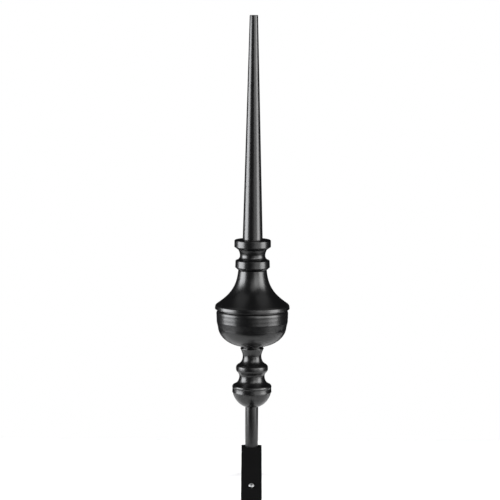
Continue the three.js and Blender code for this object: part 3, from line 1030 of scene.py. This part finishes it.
def make_floor():
    mesh = bpy.data.meshes.new("floor")
    height = cad_box[0][2] - FLOOR["gap"]
    rim = [(FLOOR["left"], FLOOR["front"]), (FLOOR["right"], FLOOR["front"]),
           (FLOOR["right"], FLOOR["back"]), (FLOOR["left"], FLOOR["back"])]
    mesh.from_pydata([(x, y, height) for x, y in rim], [], [range(len(rim))])
    mesh.materials.append(pale_card())
    floor = piece_of("floor", mesh)
    return height


floor_height = make_floor()
print(f"floor at {floor_height / MM:.1f} mm")

# %% [markdown]
# ## Light
# Black satin shows little but what it mirrors, so the lamps are drawn to be seen in it rather than
# to light it. Point lamps would give only dots. A tall soft box far round to the left and another
# to the right give the two long streaks on the spire, and a weaker one lifts the side between the
# middle and the right streak. Each is a stack of boxes of different strength, because a piece
# mirrors the part of the stack that its own tilt points at: the dim parts at the foot are for the
# upright faces of the low pieces, the dim parts at the head for the flare of the bell, and the
# dimmest, in the middle of the side stack, keeps the front of the spire dark.

# %% Stacks of soft boxes
COOL_WHITE = (0.97, 0.98, 1.0)
WHITE = (1.0, 1.0, 1.0)


def new_lamp(name, width, height, strength, colour=WHITE):
    """An area lamp. Strength is its power in watts for each square metre."""
    data = bpy.data.lights.new(name, "AREA")
    data.shape = "RECTANGLE"
    data.size = width
    data.size_y = height
    data.energy = strength * width * height
    data.color = colour
    lamp = bpy.data.objects.new(name, data)
    bpy.context.scene.collection.objects.link(lamp)
    lamp.visible_camera = False
    return lamp


def stack(azimuth, distance, width, bottom, parts, colour=WHITE):
    """Soft boxes one above the other. Azimuth is in degrees from the front, to the right.

    Each part has a name, the height of its top in metres and its strength.
    """
    turn = math.radians(azimuth)
    for name, top, strength in parts:
        lamp = new_lamp(name, width, top - bottom, strength, colour)
        lamp.location = (distance * math.sin(turn), -distance * math.cos(turn), (bottom + top) / 2)
        lamp.rotation_euler = Euler((math.pi / 2, 0, turn))
        bottom = top


stack(azimuth=-80, distance=1.5, width=1.25, bottom=-0.35, colour=COOL_WHITE,
      parts=[("lamp_left_low", -0.07, 8), ("lamp_left", 0.9, 40), ("lamp_left_high", 1.2, 12)])
stack(azimuth=71, distance=1.5, width=0.9, bottom=-0.35,
      parts=[("lamp_right_low", -0.07, 6), ("lamp_right", 1.1, 29), ("lamp_right_high", 1.4, 15)])
stack(azimuth=34, distance=1.9, width=1.3, bottom=-0.2,
      parts=[("lamp_side_low", 0.12, 11), ("lamp_side_middle", 0.5, 2.5), ("lamp_side", 1.8, 13)])

# %% [markdown]
# Four faint lamps fill what the stacks leave black: a low one in front for the upright bands, a
# high one in front for the flare's middle, and one above on each side for the faces that look up.
# The two above stand apart, because a single one in the middle would draw a stripe down the flare.

# %% Faint lamps
ABOVE = {"aside": 1.1, "height": 2.2, "width": 1.4, "strength": 1.6}

stack(azimuth=5, distance=1.9, width=0.6, bottom=-0.07, parts=[("lamp_front_low", 0.12, 5.5)])
stack(azimuth=8, distance=1.9, width=1.2, bottom=0.95, parts=[("lamp_front_high", 2.6, 5)])
for name, side in (("lamp_above_left", -1), ("lamp_above_right", 1)):
    lamp = new_lamp(name, ABOVE["width"], ABOVE["width"], ABOVE["strength"])
    lamp.location = (side * ABOVE["aside"], 0, ABOVE["height"])

# %% [markdown]
# The space round the lamps is dark, or the satin would turn grey. A dark world would also be dark
# behind the object, so the Light Path node shows a white one to the camera alone, and the object
# stands on a clean ground.

# %% Surroundings
DARK_ROOM = (0.015, 0.015, 0.016)


def surroundings(dark):
    world = bpy.data.worlds.new("surroundings")
    bpy.context.scene.world = world
    world.use_nodes = True
    tree = world.node_tree
    seen = tree.nodes["Background"]
    seen.inputs["Color"].default_value = (1, 1, 1, 1)
    seen.inputs["Strength"].default_value = 1.0
    dim = add(tree, "ShaderNodeBackground", {"Color": (*dark, 1), "Strength": 1.0})
    camera_ray = add(tree, "ShaderNodeLightPath").outputs["Is Camera Ray"]
    both = add(tree, "ShaderNodeMixShader", {0: camera_ray, 1: dim.outputs[0], 2: seen.outputs[0]})
    tree.links.new(both.outputs[0], tree.nodes["World Output"].inputs["Surface"])


surroundings(DARK_ROOM)
# The Standard view keeps white at full white, where the default one would turn it grey.
bpy.context.scene.view_settings.view_transform = "Standard"

# %% [markdown]
# ## Camera
# The camera stands 3 m off and a little above the object, so that each ring shows its upper face
# as a thin ellipse, and it leans by a fraction of a degree. A camera without perspective would be
# easier to place, but it would show all the ellipses alike, and here the lower ones are rounder.

# %% Camera
CAMERA_DISTANCE = 3.0
CAMERA_ELEVATION = math.radians(6.8)
CAMERA_ROLL = math.radians(0.305)
CAMERA_REACH = 50
LENS = 131.68
SENSOR = 36.0
AIM = Vector((-0.0043, 0, 0.33265))


def make_camera():
    data = bpy.data.cameras.new("camera")
    data.lens = LENS
    data.sensor_width = SENSOR
    data.clip_end = CAMERA_REACH
    camera = bpy.data.objects.new("camera", data)
    bpy.context.scene.collection.objects.link(camera)
    away = Vector((0, -math.cos(CAMERA_ELEVATION), math.sin(CAMERA_ELEVATION)))
    look = (-away).to_track_quat("-Z", "Y").to_matrix().to_4x4()
    camera.matrix_world = (Matrix.Translation(AIM + away * CAMERA_DISTANCE) @ look
                           @ Matrix.Rotation(CAMERA_ROLL, 4, "Z"))
    bpy.context.scene.camera = camera
    return camera


camera = make_camera()
print("camera at", [round(value, 3) for value in camera.matrix_world.translation])

# %% Size of the measured model
print("cad box   ", [tuple(round(v, 5) for v in corner) for corner in cad_box])
